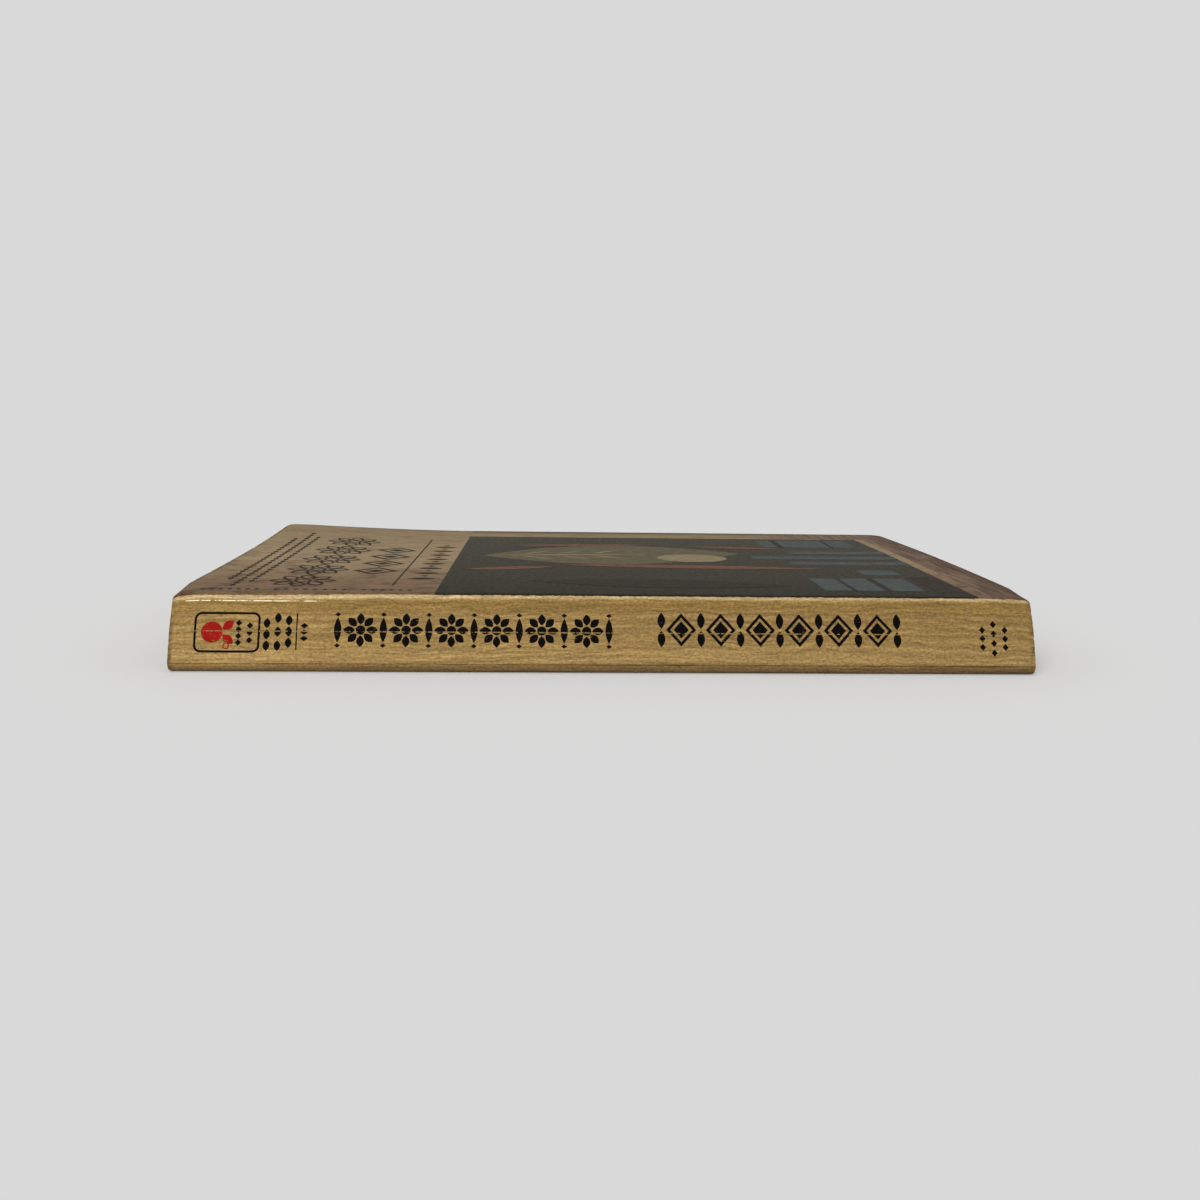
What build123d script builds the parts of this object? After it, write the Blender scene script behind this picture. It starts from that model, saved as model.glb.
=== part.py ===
from build123d import *
import os
from math import hypot

# Rack-size paperback book, lying on its back cover. X runs along the spine from
# the head at -X to the tail at +X, Y from the spine to the fore edge, and Z up.
# The origin is under the middle of the book, on the surface that it lies on.
# All sizes are in millimetres.

# Trimmed size of the closed book
length = 178.0
width = 106.0
thickness = 15.6
corner_radius = 4.0

# Shape that reading has given it: the spine is slightly rounded and its foot
# stands out, and the front cover's corner at the head curls up
spine_lean = 6.0
spine_crown = 0.35
curl_lift = 2.7
curl_along_fore_edge = 52.0
curl_along_head = 92.0

# Cover card, folded round the spine, and the strip of each cover that stays
# glued down when the cover opens
card = 0.28
top_fold_radius = 1.1
foot_fold_radius = 1.8
glued_strip = 4.0

# Binding glue, on the milled spine and a short way onto the outer leaves
spine_glue_depth = 0.5
side_glue_film = 0.15
side_glue_width = 3.2

# The leaves have parted into bunches, with a fine gap round the trimmed edges
# between each bunch and the next
bunches = 24
gap_height = 0.22
gap_depth = 0.16

# The spine's two edges, measured from the one at the front cover
front_edge = 0.0
back_edge = -spine_lean


def spine_curve(shift):
    """The rounded, leaning line of the spine's outer face, moved toward the fore edge by shift."""
    foot = (back_edge + shift, 0)
    top = (front_edge + shift, thickness)
    middle = ((back_edge + front_edge) / 2 + shift - spine_crown, thickness / 2)
    return ThreePointArc(foot, middle, top)


def between(near_side, far_side):
    """The face between two spine curves, level at the top and bottom."""
    front = Line(near_side @ 1, far_side @ 1)
    back = Line(far_side @ 0, near_side @ 0)
    return make_face([near_side, front, far_side, back])


def section_out_to(reach):
    """Section across the spine with its two folds, ended at the given reach by the spine's own curve."""
    section = between(spine_curve(0), spine_curve(reach))
    foot = section.vertices().sort_by_distance((back_edge, 0))[0]
    section = fillet(foot, foot_fold_radius)
    top = section.vertices().sort_by_distance((front_edge, thickness))[0]
    return fillet(top, top_fold_radius)


def section_inside(depth):
    """What lies more than depth under the cover's outer face, flush with it at the fore edge."""
    return offset(section_out_to(width + 2 * depth), amount=-depth) & section_out_to(width)


def strips_out_to(reach):
    """The region of the section that ends squarely at the given reach along each cover."""
    half = Rectangle(width, thickness, align=(Align.MAX, Align.CENTER))
    return Pos(back_edge + reach, 0) * half + Pos(front_edge + reach, thickness) * half


# The section stands on the plane of the head, with the book's middle over the origin
section_box = section_out_to(width).bounding_box()
section_plane = Plane(
    origin=(-length / 2, -section_box.center().X, 0), x_dir=(0, 1, 0), z_dir=(1, 0, 0))


def drawn_along_spine(section):
    """A section across the spine, drawn out from head to tail."""
    return extrude(section_plane * section, amount=length, dir=(1, 0, 0))


def across(distance):
    """A distance from the spine's front edge as a place along Y."""
    return section_plane.origin.Y + distance


def notch(edge_point, inward, along):
    """Section of a gap between two bunches: a V that comes in from beyond the trimmed edge."""
    bottom = edge_point + inward * gap_depth
    sides = [bottom + (edge_point + along * side - bottom) * 2 for side in (gap_height / 2, -gap_height / 2)]
    return make_face(Polyline(bottom, *sides, close=True))


def leaf_gaps():
    """The gaps between the bunches: along the fore edge, and from it to the glue at head and tail."""
    fore_edge = spine_curve(width)
    lowest = card + side_glue_film
    bunch = (thickness - 2 * lowest) / bunches
    up = Vector(0, 1)
    gaps = []
    for number in range(1, bunches):
        edge_point = fore_edge @ ((lowest + number * bunch) / thickness)
        gaps.append(drawn_along_spine(notch(edge_point, Vector(-1, 0), up)))
        clear_of_glue = across(edge_point.X - width + glued_strip)
        glue_end = Plane(origin=(0, clear_of_glue, 0), x_dir=(1, 0, 0), z_dir=(0, -1, 0))
        head = notch(Vector(-length / 2, edge_point.Y), Vector(1, 0), up)
        tail = notch(Vector(length / 2, edge_point.Y), Vector(-1, 0), up)
        gaps += [extrude(glue_end * gap, amount=width, dir=(0, 1, 0)) for gap in (head, tail)]
    return gaps


def make_page_block():
    """All the leaves: milled at the spine, trimmed at the fore edge to the same leaning curve."""
    under_cover = section_inside(card + side_glue_film)
    milled = Pos(spine_glue_depth - side_glue_film, 0) * under_cover
    block = drawn_along_spine(under_cover & milled)
    fore_edge_corners = block.edges().filter_by(GeomType.CIRCLE).sort_by(Axis.Y)[-2:]
    return fillet(fore_edge_corners, corner_radius) - leaf_gaps()


def make_spine_glue(page_block):
    """Adhesive between the milled leaves and the card, with a lip of side glue at each cover."""
    near_spine = between(spine_curve(-thickness), spine_curve(side_glue_width))
    return drawn_along_spine(section_inside(card) & near_spine) - page_block


def make_spine_cover():
    """The card round the spine: its face, the two folds and the two glued strips."""
    wrap = section_out_to(width) - section_inside(card)
    return drawn_along_spine(wrap & strips_out_to(glued_strip))


def cover_outline(spine_edge):
    """A cover seen from above, from where it opens to the fore edge, with worn outer corners."""
    outline = Pos(0, across(spine_edge + glued_strip)) * Rectangle(
        length, width - glued_strip, align=(Align.CENTER, Align.MIN))
    return fillet(outline.vertices().sort_by(Axis.Y)[-2:], corner_radius)


def make_back_cover():
    """A flat sheet, which the book lies on."""
    return extrude(cover_outline(back_edge), amount=card)


def make_front_cover():
    """A sheet that is flat up to a slanted line across the head corner, and curls up beyond it."""
    slant = hypot(curl_along_fore_edge, curl_along_head)
    to_corner = curl_along_fore_edge * curl_along_head / slant
    toward_corner = Vector(-curl_along_head, curl_along_fore_edge) / slant
    curl_start = Vector(-length / 2, across(front_edge + width - curl_along_head), thickness)
    profile_plane = Plane(
        origin=curl_start, x_dir=toward_corner, z_dir=toward_corner.cross(Vector(0, 0, 1)))

    # The curve leaves the flat at no angle and steepens to half as much again as its mean slope
    flat = Line((-(length + width), 0), (0, 0))
    curl = Bezier(
        (0, 0), (to_corner / 3, 0), (to_corner * 2 / 3, curl_lift / 2), (to_corner, curl_lift))
    tip = Line(curl @ 1, (curl @ 1) + (curl % 1) * corner_radius)
    face_up = [flat, curl, tip]
    face_down = [Pos(0, -card) * line for line in face_up]
    ends = [Line(face_up[0] @ 0, face_down[0] @ 0), Line(face_up[-1] @ 1, face_down[-1] @ 1)]
    profile = make_face([*face_up, *face_down, *ends])
    sheet = extrude(profile_plane * profile, amount=length + width, both=True)

    cut = extrude(cover_outline(front_edge), amount=thickness + 2 * curl_lift)
    return sheet & cut


page_block = make_page_block()
nodes = {
    "page_block": page_block,
    "spine_glue": make_spine_glue(page_block),
    "spine_cover": make_spine_cover(),
    "front_cover": make_front_cover(),
    "back_cover": make_back_cover(),
}

os.makedirs("parts", exist_ok=True)
for name, solid in nodes.items():
    solid.label = name
    export_step(solid, f"parts/{name}.step")

print(f"front cover opens about y = {across(front_edge + glued_strip):.3f}, z = {thickness:.3f}")
print(f"back cover opens about y = {across(back_edge + glued_strip):.3f}, z = 0")
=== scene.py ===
import math
import bmesh
import bpy
from mathutils import Matrix, Vector, noise


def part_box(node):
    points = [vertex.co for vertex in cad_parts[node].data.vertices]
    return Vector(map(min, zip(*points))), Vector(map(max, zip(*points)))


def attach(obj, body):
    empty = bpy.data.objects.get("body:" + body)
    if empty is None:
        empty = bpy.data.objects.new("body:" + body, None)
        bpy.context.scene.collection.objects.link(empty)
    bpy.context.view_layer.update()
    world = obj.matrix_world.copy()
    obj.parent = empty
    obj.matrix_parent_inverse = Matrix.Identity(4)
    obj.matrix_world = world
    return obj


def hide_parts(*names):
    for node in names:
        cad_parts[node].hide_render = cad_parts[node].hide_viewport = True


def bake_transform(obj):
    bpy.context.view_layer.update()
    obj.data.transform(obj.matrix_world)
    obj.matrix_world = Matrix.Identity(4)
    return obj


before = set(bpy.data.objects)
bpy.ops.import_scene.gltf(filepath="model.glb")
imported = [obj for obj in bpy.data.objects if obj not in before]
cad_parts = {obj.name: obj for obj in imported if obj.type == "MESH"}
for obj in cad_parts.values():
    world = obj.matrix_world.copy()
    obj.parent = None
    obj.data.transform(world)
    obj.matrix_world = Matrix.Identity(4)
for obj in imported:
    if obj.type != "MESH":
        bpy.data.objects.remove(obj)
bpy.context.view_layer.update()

# The block of leaves
# 128 leaves of groundwood paper, milled at the spine and guillotined together at the other
# three edges, which age has browned. The leaves have crept a little, so that the edges show
# fine ridges and a few wider gaps. Sizes are in millimetres here and in all that follows.

cover_low, cover_high = [corner * 1000 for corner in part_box("front_cover")]
back_low, back_high = [corner * 1000 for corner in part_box("back_cover")]
half_length = cover_high.x
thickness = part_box("spine_cover")[1].z * 1000
card = back_high.z
glued_strip = 4.0
top_edge_y = cover_low.y - glued_strip
foot_edge_y = back_low.y - glued_strip
leaf_width = cover_high.y - top_edge_y
corner_radius = 4.0

spine_crown = 0.35
top_fold_radius = 1.1
foot_fold_radius = 1.8


def centre_of_arc(first, second, third):
    """Centre of the circle through three points of the section."""
    to_second = second - first
    to_third = third - first
    doubled_area = 2 * (to_second.x * to_third.y - to_second.y * to_third.x)
    across = Vector((to_third.y, -to_third.x)) * to_second.length_squared
    back = Vector((-to_second.y, to_second.x)) * to_third.length_squared
    return first + (across + back) / doubled_area


# In the section across the spine, x is the frame's Y and y is its Z
foot_corner = Vector((foot_edge_y, 0.0))
top_corner = Vector((top_edge_y, thickness))
crown_point = (foot_corner + top_corner) / 2 - Vector((spine_crown, 0.0))
spine_centre = centre_of_arc(foot_corner, crown_point, top_corner)
spine_radius = (foot_corner - spine_centre).length


def fold_centre(height, radius):
    """Centre of a fold that rolls from the flat cover into the spine's arc."""
    rise = height - spine_centre.y
    run = math.sqrt((spine_radius - radius) ** 2 - rise ** 2)
    return Vector((spine_centre.x - run, height))


top_fold = fold_centre(thickness - top_fold_radius, top_fold_radius)
foot_fold = fold_centre(foot_fold_radius, foot_fold_radius)
top_turn = math.atan2(top_fold.y - spine_centre.y, top_fold.x - spine_centre.x)
foot_turn = math.atan2(foot_fold.y - spine_centre.y, foot_fold.x - spine_centre.x) % math.tau


def spine_face_at(height, depth):
    """Y of what lies depth under the spine's outer face, at a height."""
    centre, radius = spine_centre, spine_radius - depth
    if height < foot_fold.y + (foot_fold_radius - depth) * math.sin(foot_turn):
        centre, radius = foot_fold, foot_fold_radius - depth
    if height > top_fold.y + (top_fold_radius - depth) * math.sin(top_turn):
        centre, radius = top_fold, top_fold_radius - depth
    rise = height - centre.y
    return centre.x - math.sqrt(max(radius ** 2 - rise ** 2, 0.0))


def fore_edge_at(height):
    """Y of the trimmed fore edge, which repeats the spine's curve."""
    rise = height - spine_centre.y
    return spine_centre.x - math.sqrt(spine_radius ** 2 - rise ** 2) + leaf_width


# The lift of the front cover along the head, where it starts and where it rounds over,
# and the smaller lift along the tail
head_lift = 2.5
head_lift_reach = 52.0
lift_start_y = -40.0
lift_run = 81.0
crest_y = 40.0
crest_run = 20.0
tail_lift = 0.42
tail_lift_reach = 24.0


def clamped(value, most=1.0):
    """The value, kept between 0 and the most that it may be."""
    return min(max(value, 0.0), most)


def curl_at(x, y):
    """How far the front cover has lifted off the block. The rise grows along the head edge
    toward the fore edge, rounds over before the corner, and dies away toward the tail, whose
    own edge stands up a little in the middle."""
    along = clamped((y - lift_start_y) / lift_run, 1.25)
    rise = head_lift * (0.42 * along + 0.58 * along ** 3)
    past_crest = clamped((y - crest_y) / crest_run)
    rounding = 1 - 0.62 * past_crest ** 2 * (3 - 2 * past_crest)
    across = clamped((y - top_edge_y - glued_strip) / (leaf_width - 2 * glued_strip))
    bulge = tail_lift * math.sin(math.pi * across)
    near_head = clamped(1 - (x + half_length) / head_lift_reach) ** 1.6
    near_tail = clamped(1 - (half_length - x) / tail_lift_reach) ** 1.6
    return rise * rounding * near_head + bulge * near_tail


# The knocks at the spine's upper corners: a wide dent, deeper at the head, with a short
# steep one at its end, both dying away toward the foot and across the front cover
head_dent = 0.6
tail_dent = 0.4
dent_reach = 6.0
end_dent = 0.7
end_dent_reach = 1.5
dent_foot = 6.0
dent_width = 10.5


def pressed(x, y, z):
    """The point moved by the knocks that the spine's upper corners have had."""
    from_end = half_length - abs(x)
    dent = head_dent if x < 0 else tail_dent
    knock = dent * clamped(1 - from_end / dent_reach) ** 1.5
    knock += end_dent * clamped(1 - from_end / end_dent_reach) ** 2
    near_spine = clamped(1 - (y - top_edge_y) / dent_width)
    upper = clamped((z - dent_foot) / (thickness - dent_foot))
    return Vector((x, y, z - knock * near_spine * upper ** 1.5))


def places(low, high, step, close=(0.1, 0.3, 0.6, 1.0, 1.6, 2.6, 4.0)):
    """Ruling lines from low to high, close together at both ends."""
    inner = high - low - 2 * close[-1]
    count = max(round(inner / step), 1)
    middle = [low + close[-1] + inner * number / count for number in range(1, count)]
    return [low, *(low + near for near in close), *middle,
            *(high - near for near in reversed(close)), high]


def ruled_sheet(columns, rows):
    """A flat sheet in millimetres, with a vertex wherever a column crosses a row."""
    sheet = bmesh.new()
    bmesh.ops.create_grid(sheet, x_segments=len(columns) - 1, y_segments=len(rows) - 1, size=1.0)
    for vertex in sheet.verts:
        vertex.co.x = columns[round((vertex.co.x + 1) / 2 * (len(columns) - 1))]
        vertex.co.y = rows[round((vertex.co.y + 1) / 2 * (len(rows) - 1))]
    return sheet


def vertices_in(geometry):
    """The vertices among the parts that an operator gives back."""
    return [part for part in geometry if isinstance(part, bmesh.types.BMVert)]


def worn_corner(x, y, x_end, y_end):
    """The point moved so that the sheet's square corner becomes a rounded one."""
    out = Vector((x * math.copysign(1, x_end), y * math.copysign(1, y_end)))
    start = Vector((abs(x_end) - corner_radius, abs(y_end) - corner_radius))
    past = out - start
    if past.x <= 0 or past.y <= 0:
        return Vector((x, y))
    out = start + past * (max(past) / past.length)
    return Vector((out.x * math.copysign(1, x_end), out.y * math.copysign(1, y_end)))


side_glue_film = 0.15
milled_depth = 0.5
leaf_count = 128
block_bottom = card + side_glue_film
block_top = thickness - card - side_glue_film
leaf_thickness = (block_top - block_bottom) / leaf_count
most_sway = 0.1
most_creep = 0.05
leaf_gap = 0.04
bunch_gap = 0.15

leaves = ruled_sheet(places(-half_length, half_length, 5.5), places(0.0, leaf_width, 5.5))
plan = leaves.verts.layers.float_vector.new("plan")
for vertex in leaves.verts:
    vertex[plan] = vertex.co


def lay_level(vertices, height, inset):
    """Puts one level of the block in place, drawn in by inset at its trimmed edges. The top
    levels lift by half as much as the cover, and the ones in the middle sway a little."""
    near = spine_face_at(height, card + side_glue_film) + milled_depth - side_glue_film
    far = fore_edge_at(height) - inset
    full = (height - block_bottom) / (block_top - block_bottom)
    for vertex in vertices:
        flat = vertex[plan]
        x = flat.x * (1 - inset / half_length)
        y = near + (far - near) * flat.y / leaf_width
        place = worn_corner(x, y, math.copysign(half_length - inset, x), far)
        wave = noise.noise(Vector((flat.x / 38, flat.y / 30, height / 9)))
        lifted = curl_at(*place) / 2 * full ** 9
        sway = most_sway * wave * math.sin(math.pi * full)
        vertex.co = pressed(place.x, place.y, height + lifted + sway)


# The trimmed edges take the second of the leaves' two materials
trimmed_slot = 1
top_leaf = bmesh.ops.duplicate(leaves, geom=leaves.faces[:])["geom"]
rim = [edge for edge in leaves.edges if edge.is_boundary and edge not in top_leaf]
lay_level(leaves.verts, block_bottom, most_creep)
for leaf in range(leaf_count):
    crept = most_creep * (0.5 + 0.5 * noise.noise(Vector((leaf * 0.37, 2.5, 0.0))))
    parted = noise.noise(Vector((leaf * 1.73, 7.1, 3.0)))
    gap = leaf_gap + (bunch_gap if parted > 0.34 else 0.0)
    for share, inset in [(0.3, crept), (0.72, crept), (1.0, crept + gap)]:
        raised = bmesh.ops.extrude_edge_only(leaves, edges=rim)["geom"]
        lay_level(vertices_in(raised), block_bottom + (leaf + share) * leaf_thickness, inset)
        rim = [part for part in raised if isinstance(part, bmesh.types.BMEdge) and part.is_boundary]
        for edge in rim:
            edge.smooth = False
        for part in raised:
            if isinstance(part, bmesh.types.BMFace):
                part.material_index = trimmed_slot
lay_level(vertices_in(top_leaf), block_top, inset)
bmesh.ops.remove_doubles(leaves, verts=leaves.verts, dist=0.0005)
bmesh.ops.recalc_face_normals(leaves, faces=leaves.faces)
for face in leaves.faces:
    face.smooth = True


def colour(hex_value):
    """A colour that is written as sRGB hex, as the linear values that a shader takes."""
    channels = [int(hex_value[start:start + 2], 16) / 255 for start in (1, 3, 5)]
    return [c / 12.92 if c <= 0.04045 else ((c + 0.055) / 1.055) ** 2.4 for c in channels] + [1.0]


def add_node(tree, kind, settings=None, inputs=None, stops=()):
    """Adds a node with its settings. Each input is linked to a socket or to a node's first
    output, or else given a value. A colour ramp's stops are pairs of place and colour."""
    node = tree.nodes.new("ShaderNode" + kind)
    for name, value in (settings or {}).items():
        setattr(node, name, value)
    for name, value in (inputs or {}).items():
        if isinstance(value, bpy.types.Node):
            value = value.outputs[0]
        if isinstance(value, bpy.types.NodeSocket):
            tree.links.new(value, node.inputs[name])
        else:
            node.inputs[name].default_value = value
    while stops and len(node.color_ramp.elements) < len(stops):
        node.color_ramp.elements.new(1.0)
    for number, (place, value) in enumerate(stops):
        node.color_ramp.elements[number].position = place
        node.color_ramp.elements[number].color = colour(value)
    return node


def new_material(name, roughness, specular):
    """A material with its shader, and the constants that stand on the shader's own sockets."""
    material = bpy.data.materials.new(name)
    material.use_nodes = True
    shader = material.node_tree.nodes["Principled BSDF"]
    shader.inputs["Roughness"].default_value = roughness
    shader.inputs["Specular IOR Level"].default_value = specular
    return material, material.node_tree, shader


def make_object(shape, name, *materials):
    """Turns a finished mesh in millimetres into an object in metres, at the frame's origin."""
    bmesh.ops.scale(shape, vec=(0.001, 0.001, 0.001), verts=shape.verts)
    mesh = bpy.data.meshes.new(name)
    shape.to_mesh(mesh)
    shape.free()
    made = bpy.data.objects.new(name, mesh)
    bpy.context.scene.collection.objects.link(made)
    for material in materials:
        mesh.materials.append(material)
    return made


# Groundwood paper: quite matt, slightly hairy, and browned in from the trimmed edges, where
# air has reached it
paper, tree, shader = new_material("aged groundwood paper", 0.92, 0.15)
position = add_node(tree, "TexCoord").outputs["Object"]
parts = add_node(tree, "SeparateXYZ", inputs={0: position})
along = add_node(tree, "Math", {"operation": "ABSOLUTE"}, {0: parts.outputs[0]})
browned_reach = 9.0
blotch_size = 16.67
hair_size = 0.1923
to_end = add_node(tree, "MapRange", inputs={
    0: along, 1: (half_length - browned_reach) / 1000, 2: half_length / 1000})
to_fore = add_node(tree, "MapRange", inputs={
    0: parts.outputs[1], 1: (cover_high.y - browned_reach) / 1000, 2: cover_high.y / 1000})
at_edge = add_node(tree, "Math", {"operation": "MAXIMUM"}, {0: to_end, 1: to_fore})
blotch = add_node(tree, "TexNoise", inputs={"Vector": position, "Scale": 1000 / blotch_size, "Detail": 4.0})
browned = add_node(tree, "Math", {"operation": "MULTIPLY_ADD"}, {0: at_edge, 1: 0.45, 2: blotch})
face_colour = add_node(tree, "ValToRGB", inputs={"Fac": browned},
                       stops=[(0.35, "#d3c39c"), (0.6, "#cab88d"), (0.95, "#a98f5f")])
tree.links.new(face_colour.outputs[0], shader.inputs["Base Color"])
grit = add_node(tree, "TexNoise", inputs={"Vector": position, "Scale": 1000 / hair_size, "Detail": 2.0})
hairs = add_node(tree, "Bump", inputs={"Strength": 0.25, "Distance": 0.00004, "Height": grit})
tree.links.new(hairs.outputs[0], shader.inputs["Normal"])

# The trimmed edges of the leaves: each leaf a little lighter or darker than its neighbour,
# with broader bands where bunches of leaves were handled. Both tones change slowly along
# the edge.
trimmed, tree, shader = new_material("trimmed edges of the leaves", 0.95, 0.1)
position = add_node(tree, "TexCoord").outputs["Object"]
leaf_run = 55.56
bunch_run = 111.1
bunch_height = 1.43
layers = add_node(tree, "Mapping", inputs={"Vector": position, "Scale": (
    1000 / leaf_run, 1000 / leaf_run, 1000 / (1.3 * leaf_thickness))})
leaf_tone = add_node(tree, "TexNoise", inputs={"Vector": layers, "Scale": 1.0, "Detail": 2.0})
bunches = add_node(tree, "Mapping", inputs={"Vector": position, "Scale": (
    1000 / bunch_run, 1000 / bunch_run, 1000 / bunch_height)})
bunch_tone = add_node(tree, "TexNoise", inputs={"Vector": bunches, "Scale": 1.0, "Detail": 3.0})
both_tones = add_node(tree, "Mix", {"data_type": "FLOAT"}, {0: 0.4, 2: leaf_tone, 3: bunch_tone})
edge_colour = add_node(tree, "ValToRGB", inputs={"Fac": both_tones},
                       stops=[(0.32, "#8d744a"), (0.5, "#ae9566"), (0.68, "#c8b283")])
tree.links.new(edge_colour.outputs[0], shader.inputs["Base Color"])

page_leaves = make_object(leaves, "page_leaves", paper, trimmed)
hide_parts("page_block")
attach(page_leaves, "book")

# The binding glue
# Amber hot-melt adhesive, run hot onto the milled spine so that it set in a thin smooth
# layer, with a narrow lip on each outer leaf. It lies all along the inside of the cover's
# folds, so it is drawn on the flat cover sheet and folded with it.

top_fold_half = top_fold_radius * (top_turn - math.pi / 2) / 2
spine_run = spine_radius * (foot_turn - top_turn)
foot_fold_run = foot_fold_radius * (1.5 * math.pi - foot_turn)
spine_start = -top_fold_half
foot_start = spine_start - spine_run
back_start = foot_start - foot_fold_run
front_fore_edge = top_fold_half + cover_high.y - top_fold.x
front_opening = top_fold_half + cover_low.y - top_fold.x
back_fore_edge = back_start - (back_high.y - foot_fold.x)
back_opening = back_start - (back_low.y - foot_fold.x)


def folded(u, v, depth):
    """Where a point of the flat sheet comes to lie. u runs along the spine, v across the
    sheet from the middle of the top fold toward the front cover's fore edge."""
    if v >= top_fold_half:
        y = top_fold.x + v - top_fold_half
        return pressed(u, y, thickness - depth + curl_at(u, y))
    if v <= back_start:
        return Vector((u, foot_fold.x + back_start - v, depth))
    centre, radius = foot_fold, foot_fold_radius
    angle = foot_turn + (foot_start - v) / radius
    if v > foot_start:
        centre, radius = spine_centre, spine_radius
        angle = top_turn + (spine_start - v) / radius
    if v > spine_start:
        centre, radius = top_fold, top_fold_radius
        angle = math.pi / 2 + (top_fold_half - v) / radius
    out = centre + (radius - depth) * Vector((math.cos(angle), math.sin(angle)))
    return pressed(u, out.x, out.y)


def fold_sheet(shape):
    """Keeps each point's place on the flat sheet as the UV map, in millimetres, and folds the
    sheet."""
    layer = shape.loops.layers.uv.new("flat_sheet")
    for face in shape.faces:
        for loop in face.loops:
            loop[layer].uv = loop.vert.co.xy
    for vertex in shape.verts:
        vertex.co = folded(vertex.co.x, vertex.co.y, -vertex.co.z)
    bmesh.ops.recalc_face_normals(shape, faces=shape.faces)


def evenly(low, high, count):
    """Places from low to high, without high itself."""
    return [low + (high - low) * number / count for number in range(count)]


lip_width = 2.6
lip_film = 0.12
spine_film = 0.46
glue_clearance = 0.01
fold_margin = 0.3
glue_ends = (back_start - lip_width, top_fold_half + lip_width)
glue_rows = [*evenly(glue_ends[0], back_start, 4), *evenly(back_start, foot_start, 8),
             *evenly(foot_start, spine_start, 12), *evenly(spine_start, top_fold_half, 8),
             *evenly(top_fold_half, glue_ends[1], 4), glue_ends[1]]
glue_layer = ruled_sheet(places(-half_length, half_length, 6.0), glue_rows)
bmesh.ops.translate(glue_layer, vec=(0, 0, -card - glue_clearance), verts=glue_layer.verts)
lower = bmesh.ops.extrude_face_region(glue_layer, geom=glue_layer.faces[:])["geom"]
for vertex in vertices_in(lower):
    on_spine = foot_start + fold_margin < vertex.co.y < spine_start - fold_margin
    vertex.co.z -= spine_film if on_spine else lip_film
fold_sheet(glue_layer)
for face in glue_layer.faces:
    face.smooth = True

glue, tree, shader = new_material("amber hot-melt adhesive", 0.38, 0.5)
shader.inputs["Subsurface Weight"].default_value = 0.15
shader.inputs["Subsurface Scale"].default_value = 0.0008
position = add_node(tree, "TexCoord").outputs["Object"]
run_size = 2.86
runs = add_node(tree, "TexNoise", inputs={"Vector": position, "Scale": 1000 / run_size, "Detail": 3.0})
amber = add_node(tree, "ValToRGB", inputs={"Fac": runs},
                 stops=[(0.3, "#a0814a"), (0.7, "#bb9f66")])
tree.links.new(amber.outputs[0], shader.inputs["Base Color"])
skin = add_node(tree, "Bump", inputs={"Strength": 0.3, "Distance": 0.0001, "Height": runs})
tree.links.new(skin.outputs[0], shader.inputs["Normal"])

glue_strip = make_object(glue_layer, "glue_strip", glue)
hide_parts("spine_glue")
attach(glue_strip, "book")

# The cover
# One sheet of 0.28 mm cover board, printed in one go on the outside, varnished and folded
# round the block. Every part of it is cut from the same flat sheet and folded by the same
# function. This first part is the spine with its two folds and the strips glued down.


def handled_edge(u, v, seed):
    """How far handling has worn a trimmed edge in, near that place: a little everywhere, and
    more where it is nicked."""
    ragged = noise.noise(Vector((u * 0.55, v * 0.55, seed)))
    nicked = noise.noise(Vector((u * 1.2, v * 1.2, seed + 5)))
    return 0.06 + 0.09 * abs(ragged) + 0.7 * max(nicked - 0.3, 0.0)


# The places of the board's three materials, and how far in and how round its edges are worn
printed_slot, inside_slot, cut_slot = 0, 1, 2
worn_strip = 0.9
edge_round = 0.04
columns = places(-half_length, half_length, 1.2)


def board(rows, fore_edge=None):
    """A piece of the board, with its thickness and its trimmed edges worn and rounded, folded."""
    sheet = ruled_sheet(columns, rows)
    for vertex in sheet.verts:
        u, v = vertex.co.xy
        near = max(1 - (half_length - abs(u)) / worn_strip, 0.0)
        vertex.co.x -= math.copysign(near * handled_edge(u, v, 1.0), u)
        if fore_edge is not None:
            near = max(1 - abs(v - fore_edge) / worn_strip, 0.0)
            vertex.co.y -= math.copysign(near * handled_edge(u, v, 2.0), fore_edge)
            vertex.co.xy = worn_corner(*vertex.co.xy, math.copysign(half_length, u), fore_edge)
    lower = bmesh.ops.extrude_face_region(sheet, geom=sheet.faces[:])["geom"]
    bmesh.ops.translate(sheet, vec=(0, 0, -card), verts=vertices_in(lower))
    bmesh.ops.recalc_face_normals(sheet, faces=sheet.faces)
    joined = [row for row in (rows[0], rows[-1]) if row != fore_edge]
    rim = []
    for edge in sheet.edges:
        at_join = any(all(abs(vertex.co.y - row) < 1e-4 for vertex in edge.verts) for row in joined)
        upright = abs(edge.verts[0].co.z - edge.verts[1].co.z) > 0.1
        if edge.calc_face_angle() > 1.0 and not at_join and not upright:
            rim.append(edge)
    bmesh.ops.bevel(
        sheet, geom=rim, offset=edge_round, segments=2, profile=0.5, affect="EDGES", material=-1)
    for face in sheet.faces:
        face.smooth = True
        face.material_index = cut_slot
        if face.normal.z > 0.9:
            face.material_index = printed_slot
        if face.normal.z < -0.9:
            face.material_index = inside_slot
    for edge in sheet.edges:
        edge.smooth = edge.calc_face_angle() < 0.7
    for vertex in sheet.verts:
        vertex.co.x = math.copysign(min(abs(vertex.co.x), half_length), vertex.co.x)
    fold_sheet(sheet)
    return sheet


# Settings that many of the nodes share
multiply = {"operation": "MULTIPLY"}
smooth = {"interpolation_type": "SMOOTHSTEP"}
colours = {"data_type": "RGBA"}


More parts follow.
